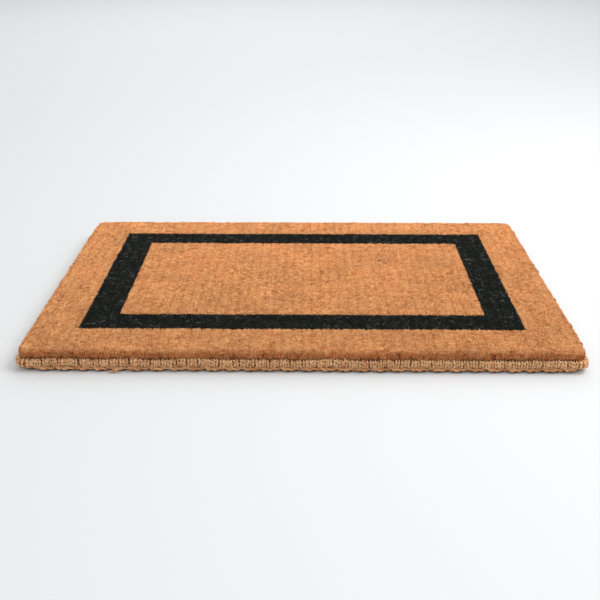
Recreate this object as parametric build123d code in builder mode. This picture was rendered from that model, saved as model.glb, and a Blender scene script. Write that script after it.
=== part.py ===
"""Hand-woven coir door mat with an inlaid dark frame and a laced, plaited edge.

Frame: +X along the mat's length, +Y from the front edge to the back, +Z up from the floor.
The origin is the middle of the underside. All sizes are in millimetres.

From the floor up the mat is a base cloth of lengthwise chain yarns under and over crosswise
wefts, a brush pile held in that cloth, and a three-strand plait laced round the outside.
"""

import os

from build123d import *

# Overall size, over the lacing
mat_length = 914.0
mat_width = 610.0
mat_thickness = 38.0

# Base cloth
chain_width = 4.0
chain_thickness = 2.5
chain_gap = 11.0
weft_width = 7.0
weft_thickness = 5.5
weft_gap = 1.25
cord_width = 6.0
cord_round = 1.5

# Plaited edge, which stands on its narrow side
strand_height = 6.0
strand_round = 2.0
plait_depth = 13.0
inner_corner_radius = 3.0

# Lacing that binds the two upper strands of the plait to the cloth
lacing_width = 4.0
lacing_thickness = 2.0
lacing_pitch = 8.25
lacing_round = 1.5
knot_stitch = 16  # the knot sits between this stitch of the front row, counted from 0, and the next
knot_half_width = 4.0
knot_half_height = 2.6
knot_round = 0.8

# Brush pile
pile_setback = 1.25  # how far the pile's side stands back from the plait's outer face
pile_edge_round = 9.0
pile_side_least = 1.0  # least straight height of the pile's side below that round
border_along_x = 82.5  # natural pile outside the dark frame
border_along_y = 78.0
band_along_x = 57.75  # width of the dark frame
band_along_y = 55.5

# Sizes that follow
plait_length = mat_length - 2 * lacing_thickness
plait_width = mat_width - 2 * lacing_thickness
outer_corner_radius = inner_corner_radius + plait_depth
inner_length = plait_length - 2 * plait_depth
inner_width = plait_width - 2 * plait_depth
cloth_length = inner_length - 2 * cord_width
cloth_width = inner_width - 2 * cord_width
chain_pitch = chain_width + chain_gap
weft_pitch = weft_width + weft_gap
weft_level = chain_thickness
upper_chain_level = weft_level + weft_thickness
cloth_top = upper_chain_level + chain_thickness
middle_strand_level = strand_height + lacing_thickness
upper_strand_level = middle_strand_level + strand_height
plait_top = upper_strand_level + strand_height
overhang_level = plait_top + lacing_thickness
pile_length = plait_length - 2 * pile_setback
pile_width = plait_width - 2 * pile_setback
pile_corner_radius = outer_corner_radius - pile_setback
tread_round = min(pile_edge_round, mat_thickness - overhang_level - pile_side_least)


def save(piece, label):
    """Names a finished piece and writes it to its own file."""
    piece.part.label = label
    export_step(piece.part, f"parts/{label}.step")


def fitting_count(span, item, pitch):
    """How many items of one width fit side by side in a span at a pitch."""
    return int((span - item) / pitch) + 1


# ---- base cloth ----


def weft_yarns():
    """Crosswise yarns, pressed a little flat, side by side between the selvedge cords."""
    count = fitting_count(cloth_length, weft_width, weft_pitch)
    with BuildPart() as yarns:
        with BuildSketch(Plane.XZ):
            with Locations((0, weft_level + weft_thickness / 2)):
                with GridLocations(weft_pitch, 1, count, 1):
                    SlotOverall(weft_width, weft_thickness)
        extrude(amount=cloth_width / 2, both=True)
    save(yarns, "weft_yarns")


def chain_yarns(label, bottom):
    """Lengthwise yarns on one side of the wefts."""
    count = fitting_count(cloth_width, chain_width, chain_pitch)
    with BuildPart() as yarns:
        with BuildSketch(Plane.YZ):
            with Locations((0, bottom + chain_thickness / 2)):
                with GridLocations(chain_pitch, 1, count, 1):
                    SlotOverall(chain_width, chain_thickness)
        extrude(amount=cloth_length / 2, both=True)
    save(yarns, label)


def heading_cord(label, side):
    """Thick crosswise cord that locks the chain yarns at one end of the cloth."""
    with BuildPart() as cord:
        with BuildSketch(Plane.XZ):
            with Locations((side * (inner_length - cord_width) / 2, cloth_top / 2)):
                RectangleRounded(cord_width, cloth_top, cord_round)
        extrude(amount=inner_width / 2 - inner_corner_radius, both=True)
    save(cord, label)


def selvedge_cord(label, side):
    """Thick lengthwise cord that the wefts turn round, between the two heading cords."""
    with BuildPart() as cord:
        with BuildSketch(Plane.YZ):
            with Locations((side * (inner_width - cord_width) / 2, cloth_top / 2)):
                RectangleRounded(cord_width, cloth_top, cord_round)
        extrude(amount=cloth_length / 2, both=True)
    save(cord, label)


# ---- plaited edge ----


def plait_strand(label, bottom):
    """One strand of the plait: a closed ring round the cloth, shown at its mean level."""
    with BuildPart() as strand:
        with BuildSketch(Plane.XY.offset(bottom)):
            RectangleRounded(plait_length, plait_width, outer_corner_radius)
            RectangleRounded(inner_length, inner_width, inner_corner_radius, mode=Mode.SUBTRACT)
        extrude(amount=strand_height)
        levels = strand.faces().filter_by(Axis.Z)
        fillet(levels.edges(), strand_round)
    save(strand, label)


def lacing_stitch():
    """One stitch over the two upper strands, its back end at the plait's inner face.

    It is made at the front edge with its outermost face on the plane y = 0.
    """
    reach = lacing_thickness + plait_depth
    with BuildPart() as stitch:
        with BuildSketch(Plane.YZ):
            with Locations((0, strand_height)):
                Rectangle(reach, overhang_level - strand_height, align=(Align.MIN, Align.MIN))
            with Locations((lacing_thickness, middle_strand_level)):
                Rectangle(
                    plait_depth,
                    plait_top - middle_strand_level,
                    align=(Align.MIN, Align.MIN),
                    mode=Mode.SUBTRACT,
                )
        extrude(amount=lacing_width / 2, both=True)
        outermost = stitch.faces().sort_by(Axis.Y)[0]
        fillet(outermost.edges().filter_by(Axis.X), lacing_round)
    return stitch.part


def stitch_places(edge_length):
    """Centres of the stitches along one straight edge, counted from its middle."""
    straight = edge_length - 2 * outer_corner_radius
    count = fitting_count(straight, lacing_width, lacing_pitch)
    return [(i - (count - 1) / 2) * lacing_pitch for i in range(count)]


def lacing_row(label, stitch, turn, edge_length, edge_distance):
    """All the stitches of one edge, turned from the front edge to their own side."""
    to_side = Location((0, 0, 0), (0, 0, turn))
    spots = [to_side * Location((along, -edge_distance, 0)) for along in stitch_places(edge_length)]
    with BuildPart() as row:
        with Locations(*spots):
            add(stitch)
    save(row, label)


def lacing_knot():
    """Flat knot where the front edge's lacing is tied off, on the lowest strand."""
    places = stitch_places(plait_length)
    middle = (places[knot_stitch] + places[knot_stitch + 1]) / 2
    with BuildPart() as knot:
        with BuildSketch(Plane.XZ.offset(plait_width / 2)):
            with Locations((middle, strand_height / 2)):
                Ellipse(knot_half_width, knot_half_height)
        extrude(amount=lacing_thickness)
        outermost = knot.faces().sort_by(Axis.Y)[0]
        fillet(outermost.edges(), knot_round)
    save(knot, "lacing_knot")


# ---- brush pile ----


def pile_envelope():
    """The whole pile: it fills the plait's inside and spreads over the plait at the top."""
    with BuildPart() as envelope:
        with BuildSketch(Plane.XY.offset(cloth_top)):
            RectangleRounded(inner_length, inner_width, inner_corner_radius)
        extrude(amount=overhang_level - cloth_top)
        with BuildSketch(Plane.XY.offset(overhang_level)):
            RectangleRounded(pile_length, pile_width, pile_corner_radius)
        extrude(amount=mat_thickness - overhang_level)
        tread = envelope.faces().sort_by(Axis.Z)[-1]
        fillet(tread.edges(), tread_round)
    return envelope.part


def pile_zone(label, envelope, x_range, y_range):
    """The tufts of one colour field, cut from the whole pile by the field's rectangle."""
    (left, right), (front, back) = x_range, y_range
    with BuildPart() as zone:
        add(envelope)
        with BuildSketch(Plane.XY):
            with Locations(((left + right) / 2, (front + back) / 2)):
                Rectangle(right - left, back - front)
        extrude(amount=mat_thickness, mode=Mode.INTERSECT)
    save(zone, label)


def pile_zones():
    """Natural border, dark frame and natural centre field."""
    envelope = pile_envelope()
    edge_x = pile_length / 2
    frame_x = edge_x - border_along_x
    field_x = frame_x - band_along_x
    edge_y = pile_width / 2
    frame_y = edge_y - border_along_y
    field_y = frame_y - band_along_y
    zones = {
        "pile_border_left": ((-edge_x, -frame_x), (-edge_y, edge_y)),
        "pile_border_right": ((frame_x, edge_x), (-edge_y, edge_y)),
        "pile_border_front": ((-frame_x, frame_x), (-edge_y, -frame_y)),
        "pile_border_back": ((-frame_x, frame_x), (frame_y, edge_y)),
        "pile_frame_left": ((-frame_x, -field_x), (-frame_y, frame_y)),
        "pile_frame_right": ((field_x, frame_x), (-frame_y, frame_y)),
        "pile_frame_front": ((-field_x, field_x), (-frame_y, -field_y)),
        "pile_frame_back": ((-field_x, field_x), (field_y, frame_y)),
        "pile_centre": ((-field_x, field_x), (-field_y, field_y)),
    }
    for label, (x_range, y_range) in zones.items():
        pile_zone(label, envelope, x_range, y_range)


os.makedirs("parts", exist_ok=True)

weft_yarns()
chain_yarns("chain_yarns_lower", 0)
chain_yarns("chain_yarns_upper", upper_chain_level)
heading_cord("heading_cord_left", -1)
heading_cord("heading_cord_right", 1)
selvedge_cord("selvedge_cord_front", -1)
selvedge_cord("selvedge_cord_back", 1)

plait_strand("plait_strand_lower", 0)
plait_strand("plait_strand_middle", middle_strand_level)
plait_strand("plait_strand_upper", upper_strand_level)

one_stitch = lacing_stitch()
lacing_row("lacing_front", one_stitch, 0, plait_length, mat_width / 2)
lacing_row("lacing_right", one_stitch, 90, plait_width, mat_length / 2)
lacing_row("lacing_back", one_stitch, 180, plait_length, mat_width / 2)
lacing_row("lacing_left", one_stitch, 270, plait_width, mat_length / 2)
lacing_knot()

pile_zones()
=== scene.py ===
"""Hand-woven coir door mat: a brush pile with an inlaid dark frame, and a plaited, laced edge.

Everything is in metres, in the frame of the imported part: +X along the mat, +Y to its back,
+Z up from the floor. A shape is worked out as whole arrays from the part's boxes and from the
few sizes named here.
"""

import math
from collections import namedtuple

import bpy
import numpy as np
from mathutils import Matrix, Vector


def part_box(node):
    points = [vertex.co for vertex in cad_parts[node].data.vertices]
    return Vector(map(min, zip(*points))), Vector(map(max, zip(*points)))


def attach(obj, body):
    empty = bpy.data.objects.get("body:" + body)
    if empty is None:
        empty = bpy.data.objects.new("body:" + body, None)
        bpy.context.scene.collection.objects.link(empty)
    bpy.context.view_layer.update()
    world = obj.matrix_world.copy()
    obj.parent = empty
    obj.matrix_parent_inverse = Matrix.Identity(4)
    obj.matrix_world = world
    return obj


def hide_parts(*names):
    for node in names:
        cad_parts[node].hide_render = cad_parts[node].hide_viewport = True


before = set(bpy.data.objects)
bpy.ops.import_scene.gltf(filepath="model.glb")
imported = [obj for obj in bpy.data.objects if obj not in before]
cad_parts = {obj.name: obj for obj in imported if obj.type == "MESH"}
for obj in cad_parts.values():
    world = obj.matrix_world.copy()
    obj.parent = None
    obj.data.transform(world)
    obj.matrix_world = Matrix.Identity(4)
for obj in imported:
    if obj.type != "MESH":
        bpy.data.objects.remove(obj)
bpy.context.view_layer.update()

MM = 0.001
TURN = 2 * math.pi

# Tufts of the pile, as they are knotted into the cloth
TUFT_PITCH = np.array([8.25, 7.5]) * MM
ROW_PAIR = 16.5 * MM
FIBRE_SPACING = 1.38 * MM
FIBRE_WIDTH = 1.12 * MM
FIBRE_LENGTH = 17 * MM
EDGE_ROUND = 9 * MM
EDGE_ZONE = 10 * MM  # the outermost stretch, where nothing holds the tufts upright
TIP_ROOM = 0.4 * MM  # left above the tread for the tips that stand a little higher
TUFT_DOME = 0.35 * MM
VALLEY_DEPTH = 0.55 * MM
SHORT_TUFT = 1.2 * MM  # how much lower the few short tufts are
CORNER_PULL = 2.4 * MM
CORNER_REACH = 32 * MM
SKIRT_FIBRES = 46  # in each of the outermost tufts

# The packed fibres below the tips
BED_DEPTH = 2.7 * MM
BED_CELL = 4 * MM
BED_INSET = 3.8 * MM

# Yarns of the cloth and of the edge
WEFT_WIDTH = 7 * MM
WEFT_PITCH = 8.25 * MM
WEFT_RADII = np.array([3.9, 2.75]) * MM
WEFT_RINGS = 80
CHAIN_WIDTH = 4 * MM
CHAIN_PITCH = 15 * MM
CHAIN_RADII = np.array([1.75, 1.25]) * MM
CHAIN_RINGS = 318
CORD_RING_GAP = 2.8 * MM
PLAIT_PERIOD = 88.5 * MM
PLAIT_RINGS = 36  # in each period
STRAND_RADIUS = 5.3 * MM
STRAND_SHARE = 0.21  # a strand's upright radius, as a share of the plait's height
INNER_CORNER = 3 * MM
CORNER_SWELL = 16 * MM
STITCH_PITCH = 8.25 * MM
STITCH_RADIUS = 2.1 * MM
STITCH_RINGS = 15
KNOT_RADII = np.array([1.45, 1.45]) * MM
KNOT_RINGS = 48
FIBRE_RINGS = 5
LAY_SHIFT = 0.37  # metres from yarn to yarn on the Lay map, so that no two are streaked alike

# How many loose fibres lie on the pile or stand out of the edge
LOOSE_FIBRES = 1600
STRAY_FIBRES = 300
EDGE_FIBRES = 1500
KNOT_FIBRES = 32

# A yarn's plies, the corners of each ply's section, and its twist in radians from ring to ring
Spin = namedtuple("Spin", "plies points turn")
STRAND_SPIN = Spin(3, 4, TURN / 15)
STITCH_SPIN = Spin(2, 4, 0.7)
KNOT_SPIN = Spin(2, 3, 0.4)
CORD_SPIN = Spin(3, 4, 0.5)
WEFT_SPIN = Spin(2, 3, 1.1)
CHAIN_SPIN = Spin(1, 5, 0.3)
HIDDEN_CHAIN_SPIN = Spin(1, 3, 0.3)
FIBRE_SPIN = Spin(1, 3, 0.0)


def box(node):
    """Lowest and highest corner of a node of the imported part, as arrays."""
    low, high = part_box(node)
    return np.array(low), np.array(high)


def joined_box(*nodes):
    """The box round several nodes."""
    boxes = [box(node) for node in nodes]
    return np.min([b[0] for b in boxes], 0), np.max([b[1] for b in boxes], 0)


# ---- shader maths ----


class Value:
    """A node's output, so that shader maths reads as a formula."""

    def __init__(self, shader, output):
        self.shader = shader
        self.output = output

    def maths(self, operation, *numbers):
        return self.shader.node("ShaderNodeMath", {"operation": operation}, *numbers)

    def __add__(self, other):
        return self.maths("ADD", self, other)

    def __sub__(self, other):
        return self.maths("SUBTRACT", self, other)

    def __rsub__(self, other):
        return self.maths("SUBTRACT", other, self)

    def __mul__(self, other):
        return self.maths("MULTIPLY", self, other)

    def __pow__(self, other):
        return self.maths("POWER", self, other)

    __radd__ = __add__
    __rmul__ = __mul__


class Shader:
    """One material and its nodes."""

    def __init__(self, name):
        self.material = bpy.data.materials.new(name)
        self.material.use_nodes = True
        self.nodes = self.material.node_tree.nodes
        self.links = self.material.node_tree.links
        self.surface = self.nodes["Principled BSDF"]

    def feed(self, socket, value):
        """Links a Value to a socket, or sets a number or colour on it."""
        if isinstance(value, Value):
            self.links.new(value.output, socket)
        else:
            socket.default_value = value

    def node(self, kind, settings=None, *places, output=0, **named):
        """Adds a node: its settings first, then its sockets by place or by name."""
        made = self.nodes.new(kind)
        for name, setting in (settings or {}).items():
            if name == "stops":
                set_stops(made.color_ramp, setting)
            else:
                setattr(made, name, setting)
        for place, value in [*enumerate(places), *named.items()]:
            self.feed(made.inputs[place], value)
        return Value(self, made.outputs[output])

    def attribute(self, name):
        """A number that the mesh carries at each point."""
        return self.node("ShaderNodeAttribute", {"attribute_name": name}, output="Fac")

    def place(self):
        """Object coordinates."""
        return self.node("ShaderNodeTexCoord", output="Object")

    def noise(self, vector, size, detail=2.0, roughness=0.55):
        """Noise between 0 and 1 whose patches are about this many metres across."""
        return self.node(
            "ShaderNodeTexNoise", None, Vector=vector, Scale=1 / size, Detail=detail, Roughness=roughness
        )

    def ramp(self, factor, *stops):
        """A colour for each number from 0 to 1."""
        return self.node("ShaderNodeValToRGB", {"stops": stops}, factor)

    def tinted(self, factor, first, second):
        """A colour multiplied by another, as far as the factor says."""
        settings = {"data_type": "RGBA", "blend_type": "MULTIPLY"}
        made = self.node("ShaderNodeMix", settings, factor, output=2)
        inputs = made.output.node.inputs
        self.feed(inputs[6], first)
        self.feed(inputs[7], second)
        return made

    def spread(self, value, low, high, first, last):
        """A number that goes from first to last while another goes from low to high."""
        return self.node("ShaderNodeMapRange", {"clamp": True}, value, low, high, first, last)

    def scaled(self, colour, factor):
        """A colour made lighter or darker by a number."""
        return self.node("ShaderNodeVectorMath", {"operation": "SCALE"}, colour, Scale=factor)

    def set(self, **sockets):
        """Feeds the surface's own sockets, with _ for the spaces in their names."""
        for name, value in sockets.items():
            self.feed(self.surface.inputs[name.replace("_", " ")], value)


def set_stops(ramp, stops):
    """Gives a colour ramp its stops, each a place and a colour."""
    while len(ramp.elements) < len(stops):
        ramp.elements.new(0.5)
    for element, (place, colour) in zip(ramp.elements, stops):
        element.position = place
        element.color = (*colour, 1)


def pile_material(name, stops, patchiness, low_tint_and_shade):
    """Cut coir: each fibre its own tone, with painted shade towards its root, and darker and redder low
    on the sides, partly redder flanks and partly painted shade.

    A painted light makes the whole field a little paler towards the mat's back.
    """
    shader = Shader(name)
    place = shader.place()
    tone = shader.attribute("tone")
    height = shader.attribute("height")
    patch = shader.noise(place, 55 * MM, 3) - 0.5
    mottle = shader.noise(place, 7 * MM, 2) - 0.5
    colour = shader.ramp(tone + mottle * 0.3 * patchiness, *stops)
    back, level = (shader.node("ShaderNodeSeparateXYZ", None, place, output=axis) for axis in "YZ")
    # painted light: the field grows paler towards the mat's back
    painted_back_light = 1 + back * 0.25 * patchiness
    # painted shade: each fibre darker towards its root, deep in the pile
    light = (0.29 + 0.73 * height**4) * (1 + patch * 0.45 * patchiness) * painted_back_light
    ragged = level + mottle * 9 * MM
    # darker and redder low in the pile and on its sides: partly the fibres' redder flanks, partly
    # painted shade
    low = shader.spread(ragged, 31.5 * MM, 36.5 * MM, 1.0, 0.0)
    tinted = shader.tinted(low, shader.scaled(colour, light), low_tint_and_shade)
    shader.set(Base_Color=tinted, Roughness=0.85, Specular_IOR_Level=0.25)
    return shader.material


def bed_material(name, stops, patchiness):
    """The packed fibres between the tips: streaky and rough, with painted shade that darkens them lower
    down.
    """
    shader = Shader(name)
    place = shader.place()
    strands = shader.noise(place, 1.1 * MM, 3, 0.7)
    clumps = shader.noise(place, 8 * MM, 2)
    patch = shader.noise(place, 55 * MM, 3) - 0.5
    colour = shader.ramp(strands * 0.75 + clumps * 0.25, *stops)
    level = shader.node("ShaderNodeSeparateXYZ", None, place, output="Z")
    # painted shade: the packed fibres darker the lower they lie
    depth = shader.spread(level, 20 * MM, 34 * MM, 0.35, 0.8)
    lit = shader.scaled(colour, depth * (1 + patch * 0.3 * patchiness))
    rough = 0.8 + strands * 0.15
    bumps = shader.node("ShaderNodeBump", None, Strength=0.9, Distance=1.2 * MM, Height=strands)
    shader.set(Base_Color=lit, Roughness=rough, Normal=bumps, Specular_IOR_Level=0.2)
    return shader.material


def yarn_material(name, stops, floor_contact_shade=1.0):
    """Spun coir: fibres laid along the yarn, with painted shade in the grooves.

    The number after the stops is how much of the colour is left where the yarn touches the floor:
    painted shade under the yarn.
    """
    shader = Shader(name)
    place = shader.place()
    lay = shader.node("ShaderNodeUVMap", {"uv_map": "Lay"})
    stretched = shader.node("ShaderNodeMapping", None, lay, Scale=(90, 7, 1))
    streak = shader.node("ShaderNodeTexNoise", None, Vector=stretched, Scale=1, Detail=4, Roughness=0.75)
    tone = shader.attribute("tone")
    groove = shader.attribute("height")
    husk = shader.noise(place, 3 * MM, 2)
    patch = shader.noise(place, 40 * MM, 2) - 0.5
    mixed = 0.5 + (tone - 0.5) * 0.55 + (streak - 0.5) * 1.3 + (husk - 0.5) * 0.7
    colour = shader.ramp(mixed, *stops)
    level = shader.node("ShaderNodeSeparateXYZ", None, place, output="Z")
    # painted shade: the yarn darker where it lies on the floor
    contact_shade_factor = shader.spread(level, 2.4 * MM, 4.6 * MM, floor_contact_shade, 1.0)
    # painted shade: darker in the grooves between the plies
    lit = shader.scaled(colour, contact_shade_factor * (0.76 + 0.24 * groove) * (1 + patch * 0.35))
    rough = 0.75 + streak * 0.2
    relief = streak * 0.7 + husk * 0.3
    bumps = shader.node("ShaderNodeBump", None, Strength=1.0, Distance=1.4 * MM, Height=relief)
    shader.set(Base_Color=lit, Roughness=rough, Normal=bumps, Specular_IOR_Level=0.25)
    return shader.material


NATURAL = (
    (0.0, (0.24, 0.089, 0.032)),
    (0.25, (0.62, 0.27, 0.096)),
    (0.5, (0.85, 0.445, 0.181)),
    (1.0, (0.96, 0.68, 0.35)),
)
NATURAL_BED = (
    (0.25, (0.34, 0.13, 0.045)),
    (0.5, (0.76, 0.35, 0.13)),
    (0.75, (0.92, 0.52, 0.22)),
)
DYED = (
    (0.0, (0.004, 0.004, 0.003)),
    (0.5, (0.0095, 0.0115, 0.0085)),
    (0.66, (0.029, 0.032, 0.025)),
    (1.0, (0.16, 0.16, 0.135)),
)
EDGE_YARN = (
    (0.0, (0.3, 0.11, 0.04)),
    (0.3, (0.54, 0.24, 0.1)),
    (0.6, (0.77, 0.42, 0.2)),
    (1.0, (0.92, 0.68, 0.43)),
)
LACING_YARN = (
    (0.0, (0.42, 0.15, 0.055)),
    (0.3, (0.76, 0.35, 0.155)),
    (0.6, (0.94, 0.56, 0.28)),
    (1.0, (0.98, 0.78, 0.54)),
)
STRAY = (
    (0.0, (0.05, 0.05, 0.045)),
    (0.4, (0.15, 0.15, 0.135)),
    (1.0, (0.55, 0.55, 0.5)),
)


# ---- meshes from arrays ----


def piece(name, points, faces, material, nodes=(), maps=None, values=None, smooth=True):
    """One finished piece of the mat.

    faces is a list of tables of corner numbers, one table for each number of corners. maps has
    a place for each face corner, values a number for each point. What would sink into the
    floor lies flat on it.
    """
    points = np.maximum(points, [-1, -1, 0])
    mesh = bpy.data.meshes.new(name)
    corners = np.concatenate([table.ravel() for table in faces]).astype(np.int32)
    sizes = np.concatenate([np.full(len(table), table.shape[1]) for table in faces])
    mesh.vertices.add(len(points))
    mesh.vertices.foreach_set("co", points.astype(np.float32).ravel())
    mesh.loops.add(len(corners))
    mesh.loops.foreach_set("vertex_index", corners)
    mesh.polygons.add(len(sizes))
    starts = np.concatenate([[0], np.cumsum(sizes)[:-1]]).astype(np.int32)
    mesh.polygons.foreach_set("loop_start", starts)
    mesh.polygons.foreach_set("use_smooth", np.full(len(sizes), smooth))
    for title, places in (maps or {}).items():
        layer = mesh.uv_layers.new(name=title)
        layer.uv.foreach_set("vector", places.astype(np.float32).ravel())
    for title, numbers in (values or {}).items():
        attribute = mesh.attributes.new(title, "FLOAT", "POINT")
        attribute.data.foreach_set("value", numbers.astype(np.float32).ravel())
    mesh.update(calc_edges=True)
    mesh.materials.append(material)
    made = bpy.data.objects.new(name, mesh)
    bpy.context.scene.collection.objects.link(made)
    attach(made, "root")
    if nodes:
        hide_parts(*nodes)


def waves(spots, size, seed):
    """A smooth random field between about -1 and 1: eight plane waves of this length or longer."""
    draws = np.random.default_rng(seed)
    angle = draws.uniform(0, TURN, 8)
    across = np.stack([np.cos(angle), np.sin(angle)], -1) * TURN / (size * draws.uniform(1, 2.2, (8, 1)))
    return np.sin(spots[..., :2] @ across.T + draws.uniform(0, TURN, 8)).sum(-1) / 4


def lengths(vectors):
    """Each vector's length, kept as a last axis of one."""
    return np.linalg.norm(vectors, axis=-1, keepdims=True)


# ---- the mat's outline ----

_, pile_high = joined_box("pile_border_left", "pile_border_right")
plait_low, plait_high = joined_box("plait_strand_lower", "plait_strand_upper")
_, cloth_high = joined_box("heading_cord_left", "heading_cord_right")
cloth_top = cloth_high[2]
plait_depth = plait_high[0] - cloth_high[0]
plait_corner = plait_depth + INNER_CORNER
pile_corner = plait_corner - (plait_high[0] - pile_high[0])


def outline(half, radius, distance):
    """Places and outward directions at distances along a rounded rectangle.

    It runs anticlockwise from the left end of the front edge as four sides, each a straight run
    and then a quarter circle.
    """
    runs = 2 * (half[[0, 1, 0, 1]] - radius)
    starts = np.concatenate([[0], np.cumsum(runs + radius * TURN / 4)])
    distance = np.mod(distance, starts[-1])
    side = np.searchsorted(starts, distance, side="right") - 1
    along = distance - starts[side]
    turn = np.clip((along - runs[side]) / radius, 0, TURN / 4)[..., None]
    out = np.array([[0, -1], [1, 0], [0, 1], [-1, 0]])[side]
    ahead = np.array([[1, 0], [0, 1], [-1, 0], [0, -1]])[side]
    middle = out * (half - radius) - ahead * runs[side][..., None] / 2
    facing = out * np.cos(turn) + ahead * np.sin(turn)
    return middle + ahead * np.minimum(along, runs[side])[..., None] + facing * radius, facing


def outline_length(half, radius):
    """The way round a rounded rectangle."""
    return 4 * (half.sum() - 2 * radius) + TURN * radius


def inside_outline(spots, half, radius):
    """How far each spot is inside a rounded rectangle, and the way out from it."""
    past = np.abs(spots) - (half - radius)
    corner = np.maximum(past, 0)
    beyond = np.where(lengths(corner) > 0, corner, past >= past.max(-1, keepdims=True))
    out = beyond / lengths(beyond) * np.sign(spots)
    return radius - lengths(corner)[..., 0] - np.minimum(past.max(-1), 0), out


# ---- the pile ----

pile_half = pile_high[:2]
tuft_counts = np.ceil(2 * pile_half / TUFT_PITCH).astype(int) + 2
tuft_draws = np.random.default_rng(11).normal(size=(*tuft_counts, 5))


def tufts_at(spots):
    """The middle of each spot's tuft, and the random numbers that belong to that tuft."""
    number = np.floor(spots / TUFT_PITCH).astype(int)
    held = np.clip(number + tuft_counts // 2, 0, tuft_counts - 1)
    return (number + 0.5) * TUFT_PITCH, tuft_draws[held[..., 0], held[..., 1]]


def valley(spots):
    """1 midway between two pairs of tuft rows, and 0 midway between the rows of a pair."""
    return np.abs(np.cos(spots[..., 0] / ROW_PAIR * TURN / 2)) ** 6


def scallop(spots, out):
    """1 where the pile's side bulges out and -1 where it draws in, in turn along the outline."""
    along = spots[..., 0] * out[..., 1] - spots[..., 1] * out[..., 0]
    return np.cos(along / ROW_PAIR * TURN)


def tread_level(spots):
    """Height of the pile's surface.

    It is level, rounded over at the edge, a little domed on each tuft, with a shallow valley
    between pairs of tuft rows. A few tufts are short.
    """
    inside, _ = inside_outline(spots, pile_half, pile_corner)
    short = np.clip(EDGE_ROUND - inside, 0, EDGE_ROUND)
    rounded = EDGE_ROUND - np.sqrt(EDGE_ROUND**2 - short**2)
    middle, draws = tufts_at(spots)
    off = 2 * (spots - middle) / TUFT_PITCH
    dome = TUFT_DOME * (off**2).sum(-1)
    uneven = 0.3 * MM * waves(spots, 70 * MM, 5) + 0.2 * MM * draws[..., 0]
    uneven = uneven - SHORT_TUFT * (draws[..., 0] < -2.1)
    return pile_high[2] - TIP_ROOM - rounded - dome - VALLEY_DEPTH * valley(spots) + uneven


def corner_pull(spots):
    """How far the pile's side is drawn in near the mat's corners: a bell curve of the distance."""
    off = lengths(np.abs(spots) - pile_half)
    return CORNER_PULL * np.exp(-((off / CORNER_REACH) ** 2))


def fibre_mesh(tips, roots, widths, draws):
    """Fibres as slim pyramids that stand on their points.

    Each has its root and three corners round its tip, so its four faces are three flanks and
    the cut end. On the bake map each fibre has a square of its own, flanks low and end high.
    """
    count = len(tips)
    angle = draws.uniform(0, TURN, (count, 1)) + np.arange(3) * TURN / 3
    cut = np.cos(angle + draws.uniform(0, TURN, (count, 1))) * draws.uniform(0.2, 1.2, (count, 1))
    rim = np.stack([np.cos(angle), np.sin(angle), cut], -1) * widths[:, None, None] / math.sqrt(3)
    points = np.concatenate([roots[:, None], tips[:, None] + rim], 1)
    pattern = np.array([[0, 2, 1], [0, 3, 2], [0, 1, 3], [1, 2, 3]])
    faces = (np.arange(count)[:, None, None] * 4 + pattern).reshape(-1, 3)
    flank = np.array([[0.5, 0.06], [0.94, 0.6], [0.06, 0.6]])
    end = np.array([[0.06, 0.7], [0.94, 0.7], [0.5, 0.96]])
    across = math.ceil(math.sqrt(count))
    cell = np.stack([np.arange(count) % across, np.arange(count) // across], -1)
    places = (cell[:, None, None] + np.stack([flank, flank, flank, end])) / across
    height = np.tile([0.0, 1.0, 1.0, 1.0], count)
    return points.reshape(-1, 3), faces, places.reshape(-1, 2), height


def pile_fibres(low, high, draws):
    """Tips, roots and tones of the fibres whose tips lie in a rectangle.

    Tips are a jittered grid, moved with their tuft. A fibre leans with its tuft, fans out from
    the tuft's middle, and leans outwards near the mat's edge.
    """
    count = np.round((high - low) / FIBRE_SPACING).astype(int)
    grid = np.stack(np.meshgrid(*map(np.arange, count), indexing="ij"), -1).reshape(-1, 2)
    spots = low + (grid + draws.uniform(0.05, 0.95, grid.shape)) * (high - low) / count
    inside, out = inside_outline(spots, pile_half, pile_corner)
    spots, inside, out = (part[inside > 0.1 * MM] for part in (spots, inside, out))
    middle, tuft = tufts_at(spots)
    held = np.clip(inside / EDGE_ZONE, 0, 1)[:, None]
    moved = spots + held * (0.5 * MM * tuft[:, 1:3] + 0.6 * MM * draws.normal(size=spots.shape))
    moved += out * (1 - held) * (0.2 + 1.2 * scallop(spots, out)[:, None] + 0.7 * tuft[:, 1:2]) * MM
    moved -= out * (1 - held) * corner_pull(spots)
    level = tread_level(spots) - draws.uniform(0, 1.2 * MM, len(spots))
    level += (1 - held[:, 0]) * 0.6 * MM * tuft[:, 2]
    tips = np.concatenate([moved, level[:, None]], 1)
    fan = (spots - middle) / TUFT_PITCH * 0.35
    drift = np.stack([waves(spots, 45 * MM, 21), waves(spots, 45 * MM, 22)], -1) * 0.14
    lean = fan + drift + 0.1 * tuft[:, 3:5] + 0.12 * draws.normal(size=spots.shape)
    lean += out * (1 - held) * 0.6
    ahead = np.concatenate([lean, np.ones((len(lean), 1))], 1)
    roots = tips - ahead / lengths(ahead) * FIBRE_LENGTH
    # painted shade: fibres a little darker in the valleys between pairs of tuft rows
    tone = 0.5 + 0.06 * tuft[:, 0] + 0.11 * draws.normal(size=len(tips)) - 0.07 * valley(spots)
    return tips, roots, tone


def fibre_piece(name, tips, roots, tone, material, nodes, draws, stout=1.0):
    """A field of fibres as one piece."""
    widths = stout * FIBRE_WIDTH * draws.uniform(0.7, 1.25, len(tips))
    points, faces, places, height = fibre_mesh(tips, roots, widths, draws)
    values = {"tone": np.repeat(tone, 4).clip(0, 1), "height": height}
    piece(name, points, [faces], material, nodes, {"OFBake": places}, values, smooth=False)


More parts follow.
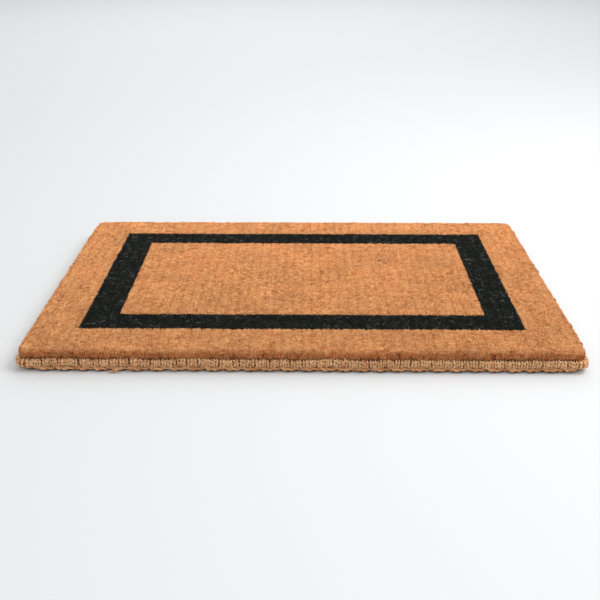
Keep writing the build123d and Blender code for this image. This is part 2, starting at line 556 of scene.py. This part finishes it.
def pile_bed(name, nodes, material):
    """The packed fibres below the tips, one closed slab for each node.

    A slab's top is a grid at the tread's level less the bed's depth; its rim is carried down to
    the cloth. The mat's outer edges are set in, and its corners are drawn in to an arc.
    """
    draws = np.random.default_rng(31)
    half = pile_half - BED_INSET
    radius = pile_corner - BED_INSET
    tables = {}
    slabs = []
    start = 0
    for node in nodes:
        low, high = (corner[:2].clip(-half, half) for corner in box(node))
        count = np.ceil((high - low) / BED_CELL).astype(int)
        steps = [np.linspace(a, b, n + 1) for a, b, n in zip(low, high, count)]
        spots = np.stack(np.meshgrid(*steps, indexing="ij"), -1)
        inside, out = inside_outline(spots, half, radius)
        spots = spots + out * np.minimum(inside, 0)[..., None]
        level = tread_level(spots) - BED_DEPTH + 0.35 * MM * draws.normal(size=spots.shape[:2])
        top = np.concatenate([spots, level[..., None]], -1).reshape(-1, 3)
        number = np.arange(len(top)).reshape(spots.shape[:2])
        rim = np.concatenate([number[:-1, 0], number[-1, :-1], number[:0:-1, -1], number[0, :0:-1]])
        foot = top[rim] * [1, 1, 0] + [0, 0, cloth_top]
        below = len(top) + np.arange(len(rim))
        tops = np.stack([number[:-1, :-1], number[1:, :-1], number[1:, 1:], number[:-1, 1:]], -1)
        walls = np.stack([below, np.roll(below, -1), np.roll(rim, -1), rim], -1)
        for table in (tops.reshape(-1, 4), walls, below[None, ::-1]):
            tables.setdefault(table.shape[1], []).append(table + start)
        slabs.append(np.concatenate([top, foot]))
        start += len(slabs[-1])
    faces = [np.concatenate(group) for group in tables.values()]
    piece(name, np.concatenate(slabs), faces, material)


def pile_fields():
    """Every colour field's fibres, the centre's as three pieces; gives the natural fibres' material."""
    # the last colour makes the low pile darker and redder: partly redder flanks, partly painted shade
    natural = pile_material("natural_pile", NATURAL, 1.0, (0.78, 0.56, 0.46, 1))
    dyed = pile_material("dyed_pile", DYED, 0.5, (1, 1, 1, 1))
    seed = 100
    for kind, material, slot in (
        ("border", natural, "natural_pile"),
        ("frame", dyed, "dark_pile"),
        ("centre", natural, "natural_pile"),
    ):
        sides = ("",) if kind == "centre" else ("_left", "_right", "_front", "_back")
        for node in ("pile_" + kind + side for side in sides):
            low, high = box(node)
            parts = 3 if kind == "centre" else 1
            edges = np.linspace(low[1], high[1], parts + 1)
            for part in range(parts):
                seed += 1
                draws = np.random.default_rng(seed)
                corner = np.array([low[0], edges[part]])
                tips, roots, tone = pile_fibres(corner, np.array([high[0], edges[part + 1]]), draws)
                name = node + "_fibres" + (f"_{part + 1}" if parts > 1 else "")
                fibre_piece(name, tips, roots, tone, material, [node], draws)
    return natural


def pile_skirt(material):
    """The outermost tufts seen from the side, fanning out of the lacing all round the mat.

    Tufts stand at nearly equal steps along the outline. A tip lies anywhere along its tuft's
    stretch and up the pile's side, further in by the cube of its height there. Its root is
    behind the lacing, nearer its tuft's middle.
    """
    draws = np.random.default_rng(61)
    way = outline_length(pile_half, pile_corner)
    tufts = round(way / TUFT_PITCH[0])
    each = SKIRT_FIBRES
    overhang = box("lacing_front")[1][2]
    centre = (np.arange(tufts) + draws.uniform(-0.12, 0.12, tufts)) * way / tufts
    spread = draws.uniform(-0.56, 0.56, (tufts, each)) * way / tufts
    rise = draws.uniform(0, 1, (tufts, each)) ** 1.3
    spot, out = outline(pile_half, pile_corner, centre[:, None] + spread)
    base, base_out = outline(pile_half, pile_corner, centre[:, None] + spread * 0.3)
    level = overhang + (3 + 9 * rise + draws.normal(0, 1.1, (tufts, 1))) * MM
    inset = (0.3 + 2.6 * rise**3 + draws.uniform(0, 1.2, rise.shape)) * MM
    inset = inset - 0.8 * MM * scallop(spot, out)
    pull = corner_pull(spot)
    tips = np.concatenate([spot - out * (inset[..., None] + pull), level[..., None]], -1)
    inset = draws.uniform(0.8, 2.8, (tufts, each, 1)) * MM
    level = overhang - draws.uniform(4, 10, (tufts, each, 1)) * MM
    roots = np.concatenate([base - base_out * (inset + pull), level], -1)
    tone = 0.42 + 0.1 * draws.normal(size=(tufts, 1)) + 0.14 * draws.normal(size=(tufts, each))
    fibre_piece("pile_side_fibres", tips.reshape(-1, 3), roots.reshape(-1, 3), tone.ravel(), material,
                (), draws, 1.15)


# ---- yarns ----


def yarn_section(plies, points):
    """Corners of a yarn's section in a unit circle, and how far each stands out of the grooves.

    The plies are circles that touch each other round the middle, and each gives the same number
    of corners, on the arc that faces outwards.
    """
    if plies == 1:
        angle = np.arange(points) * TURN / points
        return np.stack([np.cos(angle), np.sin(angle)], -1), np.ones(points)
    ply_radius = 1 / (1 + 1 / math.sin(math.pi / plies))
    way = np.arange(plies)[:, None] * TURN / plies
    arc = np.linspace(-0.85, 0.85, points) * (math.pi / 2 + math.pi / plies)
    corner = np.stack([np.cos(way + arc), np.sin(way + arc)], -1) * ply_radius
    corner += np.stack([np.cos(way), np.sin(way)], -1) * (1 - ply_radius)
    corner = corner.reshape(-1, 2)
    return corner, lengths(corner)[:, 0] ** 2


def yarn_tube(centre, across, radii, spin, closed, draws):
    """Corners of twisted yarns along paths, and how far each stands out of its yarn's grooves.

    centre is (yarns, rings, 3). The section of each ring lies square to the path, its first
    radius along `across`, and turns a little further from ring to ring.
    """
    count, rings = centre.shape[:2]
    ahead = np.roll(centre, -1, 1) - np.roll(centre, 1, 1)
    if not closed:
        ahead[:, 0] = centre[:, 1] - centre[:, 0]
        ahead[:, -1] = centre[:, -1] - centre[:, -2]
    ahead = ahead / lengths(ahead)
    side = across - (across * ahead).sum(-1, keepdims=True) * ahead
    side = side / lengths(side)
    up = np.cross(ahead, side)
    section, groove = yarn_section(spin.plies, spin.points)
    angle = (np.arange(rings) * spin.turn + draws.uniform(0, TURN, (count, 1)))[..., None]
    u = section[:, 0] * np.cos(angle) - section[:, 1] * np.sin(angle)
    v = section[:, 0] * np.sin(angle) + section[:, 1] * np.cos(angle)
    radii = np.broadcast_to(radii, (count, rings, 2))
    corner = centre[:, :, None] + side[:, :, None] * (u * radii[..., :1])[..., None]
    return corner + up[:, :, None] * (v * radii[..., 1:])[..., None], groove


def yarn_faces(number, closed):
    """Quads round the yarns, as (yarns, spans, sides, 4), and the end caps of open ones."""
    after = np.roll(number, -1, 1) if closed else number[:, 1:]
    before = number if closed else number[:, :-1]
    quads = np.stack([before, np.roll(before, -1, 2), np.roll(after, -1, 2), after], -1)
    caps = [] if closed else [number[:, 0, ::-1], number[:, -1]]
    return quads, caps


def square_corners(left, row, width, height):
    """Map places of each quad's four corners, in the quads' own order."""
    corners = [(left, row), (left, row + height), (left + width, row + height), (left + width, row)]
    return np.stack([np.stack(np.broadcast_arrays(u, v), -1) for u, v in corners], -2).reshape(-1, 2)


def yarn_maps(quads, caps, gap, points):
    """Two maps of yarns: Lay, in metres along the yarn and plies round it, and OFBake.

    On OFBake each span of a yarn has a cell of a grid, split into its sides, and the end caps
    share one cell of one more row.
    """
    count, spans, sides = quads.shape[:3]
    step = np.arange(count * spans).reshape(count, spans, 1)
    columns = math.ceil(math.sqrt(count * spans * sides / 3))
    rows = math.ceil(count * spans / columns) + 1
    row = step // columns + np.arange(sides) / sides
    baked = square_corners(step % columns, row, 1, 1 / sides) / [columns, rows]
    yarn = np.arange(count)[:, None, None]
    along = (np.arange(spans)[:, None] + np.zeros(sides)) * gap + yarn * LAY_SHIFT
    lay = square_corners(along, np.arange(sides) / points, gap, 1 / points)
    if caps:
        rim = np.stack([np.cos(np.arange(sides)), np.sin(np.arange(sides))], -1)
        end = ([0.5, rows - 0.5] + 0.4 * rim) / [columns, rows]
        baked = np.concatenate([baked, np.tile(end, (len(caps) * count, 1))])
        lay = np.concatenate([lay, np.zeros((len(caps) * count * sides, 2))])
    return {"Lay": lay, "OFBake": baked}


def yarn_piece(name, centre, across, radii, material, nodes, spin, seed, closed=False):
    """A group of alike yarns as one piece, each ply and each corner of its own tone."""
    draws = np.random.default_rng(seed)
    corner, groove = yarn_tube(centre, np.asarray(across, float), radii, spin, closed, draws)
    count, rings, sides = corner.shape[:3]
    number = np.arange(count * rings * sides).reshape(count, rings, sides)
    quads, caps = yarn_faces(number, closed)
    gap = np.linalg.norm(centre[:, 1] - centre[:, 0], axis=-1)[:, None, None]
    maps = yarn_maps(quads, caps, gap, spin.points)
    ply_tone = draws.normal(0.5, 0.16, (count, 1, spin.plies, 1))
    ply_tone = np.broadcast_to(ply_tone, (count, rings, spin.plies, sides // spin.plies))
    tone = ply_tone.reshape(number.shape) + draws.normal(0, 0.05, number.shape)
    values = {"tone": tone.clip(0, 1), "height": np.broadcast_to(groove, number.shape)}
    faces = [quads.reshape(-1, 4), *caps]
    piece(name, corner.reshape(-1, 3), faces, material, nodes, maps, values)


plait_half = plait_high[:2] - plait_depth / 2
plait_radius = plait_corner - plait_depth / 2
plait_way = outline_length(plait_half, plait_radius)
corner_ways = np.array([2 * (plait_half[0] - plait_radius), 2 * (plait_half[1] - plait_radius)] * 2)
corner_ways = np.cumsum(corner_ways + plait_radius * TURN / 4) - plait_radius * TURN / 8


def corner_swell(distance):
    """1 at the middle of each corner of the plait, falling to 0 some way to both sides."""
    off = np.mod(distance[..., None] - corner_ways + plait_way / 2, plait_way) - plait_way / 2
    return np.exp(-((off / CORNER_SWELL) ** 2)).sum(-1)


def plait(material):
    """Three strands that keep changing places, each a rope of three yarns.

    A strand's level is a flattened sine along the edge and its depth a sine of twice that
    angle; the strands follow each other at thirds of the period. Where a strand lies on the
    floor it stands out past the stitches, and behind them it climbs.
    """
    periods = round(plait_way / PLAIT_PERIOD)
    rings = periods * PLAIT_RINGS
    distance = np.arange(rings) / rings * plait_way
    spot, out = outline(plait_half, plait_radius, distance)
    swell = corner_swell(distance)
    middle = (plait_low[2] + plait_high[2]) / 2
    tall = plait_high[2] - plait_low[2]
    for number, node in enumerate(("plait_strand_lower", "plait_strand_middle", "plait_strand_upper")):
        angle = TURN * (np.arange(rings) * periods / rings + number / 3)
        angle = angle + 0.3 * waves(spot, 110 * MM, 69)
        loose = waves(spot, 60 * MM, 70 + number)
        rise = np.tanh(2.4 * np.sin(angle)) / math.tanh(2.4)
        level = middle - 0.2 * MM + 0.29 * tall * rise + 0.3 * MM * loose
        lying = np.clip(-(rise + 0.1) / 0.6, 0, 1)
        depth = 4.4 * lying - 1 + 1.9 * np.sin(2 * angle) + swell * (0.2 + 2.4 * rise - 3.6 * lying)
        depth = (depth + 0.5 * waves(spot, 50 * MM, 80 + number)) * MM
        centre = np.concatenate([spot + out * depth[:, None], level[:, None]], 1)[None]
        across = np.concatenate([out, np.zeros((rings, 1))], 1)
        radii = np.stack([STRAND_RADIUS + 0.3 * MM * loose, np.full(rings, STRAND_SHARE * tall)], -1)
        yarn_piece(node + "_rope", centre, across, radii, material, [node], STRAND_SPIN,
                   90 + number, closed=True)


def lacing(material):
    """Stitches over the upper strands, close together along each side and round its far corner.

    A stitch is a doubled yarn. It comes out between the strands, climbs the plait's outer face
    and goes back in over the top, a little aslant and bowed. That is half a turn, squared off:
    its depth goes by a low power of the cosine, and its level nearly by the sine.
    """
    sides = ("front", "right", "back", "left")
    ends = np.concatenate([[corner_ways[-1] - plait_way], corner_ways])
    step = np.linspace(0, 1, STITCH_RINGS)
    climb = TURN / 2 * (step - 0.5)
    for number, side in enumerate(sides):
        draws = np.random.default_rng(120 + number)
        way = ends[number + 1] - ends[number]
        pairs = round(way / STITCH_PITCH)
        count = 2 * pairs
        shift = np.repeat(draws.normal(0, 0.18, pairs), 2)
        at = ends[number] + (np.arange(count) + 0.5 + shift) * way / count
        slant = np.repeat(draws.normal(0.8 * MM, 1.5 * MM, (pairs, 1)), 2, 0)
        slant = (slant + draws.normal(0, 0.5 * MM, (count, 1))) * (step - 0.5)
        bow = np.repeat(draws.normal(0, 0.8 * MM, (pairs, 1)), 2, 0) * np.cos(climb)
        spot, out = outline(plait_half, plait_radius, at[:, None] + slant + bow)
        reach = plait_depth / 2 + draws.normal(0.5 * MM, 0.25 * MM, (count, 1))
        reach = reach + 2.5 * MM * corner_swell(at)[:, None]
        low, high = box("lacing_" + side)
        tall = (high[2] - low[2]) / 2 - 1.9 * MM + draws.normal(0, 0.4 * MM, (count, 1))
        middle = (low[2] + high[2]) / 2 + (0.3 + draws.normal(0, 0.55, (count, 1))) * MM
        middle = middle + 1.2 * MM * waves(spot[:, :1], 60 * MM, 119)
        depth = reach * np.sign(np.cos(climb)) * np.abs(np.cos(climb)) ** 0.45 - 0.2 * MM
        level = middle + tall * np.sign(np.sin(climb)) * np.abs(np.sin(climb)) ** 0.8
        centre = np.concatenate([spot + out * depth[..., None], level[..., None]], -1)
        along = np.stack([-out[..., 1], out[..., 0], np.zeros(out.shape[:2])], -1)
        thick = STITCH_RADIUS * draws.uniform(0.9, 1.12, (count, 1, 1))
        yarn_piece("lacing_" + side + "_yarn", centre, along, thick * [1.22, 0.95], material,
                   ["lacing_" + side], STITCH_SPIN, 130 + number)


def knot(material):
    """A small trefoil of yarn on the lowest strand, with two frayed ends."""
    low, high = box("lacing_knot")
    middle = (low + high) / 2 + np.array([0, -4.2, 1.6]) * MM
    angle = np.arange(KNOT_RINGS) / KNOT_RINGS * TURN
    ring = 2 + np.cos(3 * angle)
    curve = [ring * np.cos(2 * angle), 0.9 * np.sin(3 * angle), 0.8 * ring * np.sin(2 * angle)]
    centre = (middle + np.stack(curve, -1) * 1.2 * MM)[None]
    yarn_piece("lacing_knot_yarn", centre, [0, 1, 0], KNOT_RADII, material,
               ["lacing_knot"], KNOT_SPIN, 140, closed=True)
    draws = np.random.default_rng(141)
    side = np.repeat([[-1.0], [1.0]], KNOT_FIBRES // 2, 0)
    ahead = side * [1.1, 0, 0] + [0, -0.4, -0.3] + draws.normal(0, 0.3, (KNOT_FIBRES, 3))
    starts = middle + (side * [2.5, 0, 0] + [0, -0.5, -0.8]) * MM
    reach = draws.uniform(2.5, 5.5, KNOT_FIBRES) * MM
    whiskers("knot_ends", starts, ahead, reach, 0.3 * MM, material, draws)


def whiskers(name, starts, ahead, reach, radius, material, draws):
    """Loose fibres: each a thin three-sided tube from its start, bent aside by a square law."""
    step = np.linspace(0, 1, FIBRE_RINGS)[:, None]
    ahead = ahead / lengths(ahead)
    curl = draws.normal(0, 0.35, ahead.shape)
    centre = starts[:, None] + (ahead[:, None] * step + curl[:, None] * step**2) * reach[:, None, None]
    radii = np.full((len(starts), FIBRE_RINGS, 2), radius) * (1 - 0.5 * step)
    yarn_piece(name, centre, [0.3, 0.2, 1], radii, material, (), FIBRE_SPIN, 142)


def edge_whiskers(material):
    """Fibre ends that stand out of the lacing and the plait all the way round.

    They start anywhere along the edge and up its height, and most run along it more than out.
    """
    draws = np.random.default_rng(145)
    count = EDGE_FIBRES
    at = draws.uniform(0, plait_way, count)
    spot, out = outline(plait_half, plait_radius, at)
    depth = plait_depth / 2 + 1.4 * MM + 1.5 * MM * corner_swell(at)
    level = draws.uniform(1.5, 20.5, count) * MM
    starts = np.concatenate([spot + out * depth[:, None], level[:, None]], -1)
    along = np.stack([-out[:, 1], out[:, 0]], -1)
    flat = along * draws.normal(0, 1, (count, 1)) + out * draws.uniform(0.05, 0.55, (count, 1))
    ahead = np.concatenate([flat, draws.normal(0.1, 0.7, (count, 1))], -1)
    reach = draws.uniform(2, 5.5, count) * MM
    whiskers("edge_fibres", starts, ahead, reach, 0.17 * MM, material, draws)


# ---- cloth ----


def cloth(material):
    """The base: wefts side by side, and pairs of chain yarns that pass under and over them.

    A chain yarn's level is a clipped cosine along the mat, one wave to two wefts, and the other
    yarn of its pair has the same wave upside down. A weft's level is a low cosine along itself.
    """
    low, high = box("weft_yarns")
    count = round((high[0] - low[0] - WEFT_WIDTH) / WEFT_PITCH) + 1
    x = (np.arange(count) - (count - 1) / 2) * WEFT_PITCH
    y = np.linspace(low[1], high[1], WEFT_RINGS)
    phase = x[:, None] / WEFT_PITCH * math.pi + y / CHAIN_PITCH * TURN
    level = (low[2] + high[2]) / 2 + 0.3 * MM * np.cos(phase)
    centre = np.stack(np.broadcast_arrays(x[:, None], y, level), -1)
    yarn_piece("weft_yarns_spun", centre, [1, 0, 0], WEFT_RADII, material,
               ["weft_yarns"], WEFT_SPIN, 150)
    low, high = box("chain_yarns_lower")
    top = box("chain_yarns_upper")[1][2]
    count = round((high[1] - low[1] - CHAIN_WIDTH) / CHAIN_PITCH) + 1
    y = (np.arange(count) - (count - 1) / 2) * CHAIN_PITCH
    x = np.linspace(low[0], high[0], CHAIN_RINGS)
    middle = (low[2] + top) / 2
    for name, side, spin in (
        ("chain_yarns_lower", -1, CHAIN_SPIN),
        ("chain_yarns_upper", 1, HIDDEN_CHAIN_SPIN),
    ):
        wave = np.clip(1.25 * np.cos(x / WEFT_PITCH * math.pi), -1, 1) * side
        level = middle - (middle - CHAIN_RADII[1]) * wave
        centre = np.stack(np.broadcast_arrays(x, y[:, None] + side * 1.7 * MM, level), -1)
        yarn_piece(name + "_spun", centre, [0, 1, 0], CHAIN_RADII, material, [name], spin,
                   160 + side)


def cords(material):
    """The thick cords round the cloth: straight three-ply ropes with a tall section."""
    for number, node in enumerate(
        ("heading_cord_left", "heading_cord_right", "selvedge_cord_front", "selvedge_cord_back")
    ):
        low, high = box(node)
        middle = (low + high) / 2
        axis = int(np.argmax(high - low))
        rings = int((high - low)[axis] / CORD_RING_GAP)
        centre = np.tile(middle, (1, rings, 1))
        centre[0, :, axis] = np.linspace(low[axis], high[axis], rings)
        across = np.eye(3)[1 - axis]
        radii = [(high - low)[1 - axis] / 2 * 1.08, (high - low)[2] / 2]
        yarn_piece(node + "_rope", centre, across, radii, material, [node], CORD_SPIN,
                   170 + number)


def hairs(name, nodes, count, radius, material, seed):
    """Loose fibres that lie on the pile: short three-sided tubes bent into an arc."""
    draws = np.random.default_rng(seed)
    share = draws.integers(0, len(nodes), count)
    lows = np.array([box(node)[0][:2] for node in nodes])[share]
    highs = np.array([box(node)[1][:2] for node in nodes])[share]
    spots = lows + (highs - lows) * draws.uniform(0.02, 0.98, lows.shape)
    heading = draws.uniform(0, TURN, (count, 1))
    bend = draws.normal(0, 1.1, (count, 1))
    reach = draws.uniform(5, 15, (count, 1)) * MM
    step = np.linspace(-0.5, 0.5, FIBRE_RINGS)
    angle = heading + bend * step
    path = np.stack([np.cos(angle), np.sin(angle)], -1) * reach[..., None] / (FIBRE_RINGS - 1)
    path = spots[:, None] + np.cumsum(path, 1) - path.sum(1, keepdims=True) / 2
    inside, _ = inside_outline(path, pile_half, pile_corner)
    path = path[inside.min(1) > 1 * MM]
    level = tread_level(path) + 0.4 * MM * draws.uniform(-1.2, 1, (len(path), 1)) - 4.4 * MM * step**2
    centre = np.concatenate([path, level[..., None]], -1)
    yarn_piece(name, centre, [0, 0, 1], np.array([radius, radius]), material, (), FIBRE_SPIN,
               seed + 1)


def mat():
    """The whole mat, from the edge inwards."""
    # 0.12: painted shade, nearly black where the plait lies on the floor
    edge = yarn_material("plait_coir", EDGE_YARN, 0.12)
    stitch = yarn_material("lacing_coir", LACING_YARN)
    base = yarn_material("base_coir", EDGE_YARN)
    stray = yarn_material("stray_coir", STRAY)
    natural = pile_fields()
    pile_skirt(natural)
    bed = bed_material("natural_pile_bed", NATURAL_BED, 1.0)
    dark_bed = bed_material("dyed_pile_bed", DYED, 0.5)
    borders = ["pile_border_" + side for side in ("left", "right", "front", "back")]
    frames = ["pile_frame_" + side for side in ("left", "right", "front", "back")]
    pile_bed("natural_pile_bed", [*borders, "pile_centre"], bed)
    pile_bed("dark_pile_bed", frames, dark_bed)
    fields = [*borders, *["pile_centre"] * 3]
    hairs("loose_fibres", fields, LOOSE_FIBRES, 0.28 * MM, stitch, 200)
    hairs("stray_fibres", frames, STRAY_FIBRES, 0.22 * MM, stray, 210)
    plait(edge)
    lacing(stitch)
    knot(stitch)
    edge_whiskers(stitch)
    cloth(base)
    cords(base)


# ---- studio ----


def floor():
    """A plain pale floor, wide enough to fill the view."""
    shader = Shader("studio_floor")
    shader.set(Base_Color=(0.588, 0.593, 0.593, 1), Roughness=0.7, Specular_IOR_Level=0.2)
    mesh = bpy.data.meshes.new("floor")
    reach = 12
    corners = [(-reach, -reach, 0), (reach, -reach, 0), (reach, reach, 0), (-reach, reach, 0)]
    mesh.from_pydata(corners, [], [(0, 1, 2, 3)])
    mesh.materials.append(shader.material)
    made = bpy.data.objects.new("floor", mesh)
    bpy.context.scene.collection.objects.link(made)


def softbox(name, place, aim, size, power):
    """A square area light that faces a point."""
    light = bpy.data.lights.new(name, "AREA")
    light.size = size
    light.energy = power
    made = bpy.data.objects.new(name, light)
    made.location = place
    facing = np.array(aim) - np.array(place)
    made.rotation_euler = (
        math.atan2(math.hypot(facing[0], facing[1]), -facing[2]),
        0,
        math.atan2(facing[1], facing[0]) - TURN / 4,
    )
    bpy.context.scene.collection.objects.link(made)


def studio():
    """Soft light from above and the right, a pale surround, and the camera."""
    world = bpy.data.worlds.new("studio")
    world.use_nodes = True
    background = world.node_tree.nodes["Background"]
    background.inputs["Color"].default_value = (0.97, 0.98, 1, 1)
    background.inputs["Strength"].default_value = 0.8
    bpy.context.scene.world = world
    softbox("key", (1.5, 0.2, 2.2), (0, 0, 0), 1.4, 50)
    softbox("fill", (0.3, -2.2, 1.3), (0, -0.3, 0), 1.6, 11)
    softbox("back", (0, 4, 3.2), (0, 3, 0), 4, 92)
    camera = bpy.data.cameras.new("camera")
    camera.lens = 51.6
    camera.sensor_width = 36
    made = bpy.data.objects.new("camera", camera)
    made.location = (0.0092, -1.4965, 0.6827)
    made.rotation_euler = (math.radians(90 - 24.98), 0, math.radians(0.54))
    bpy.context.scene.collection.objects.link(made)
    bpy.context.scene.camera = made
    bpy.context.scene.view_settings.view_transform = "Standard"


mat()
floor()
studio()
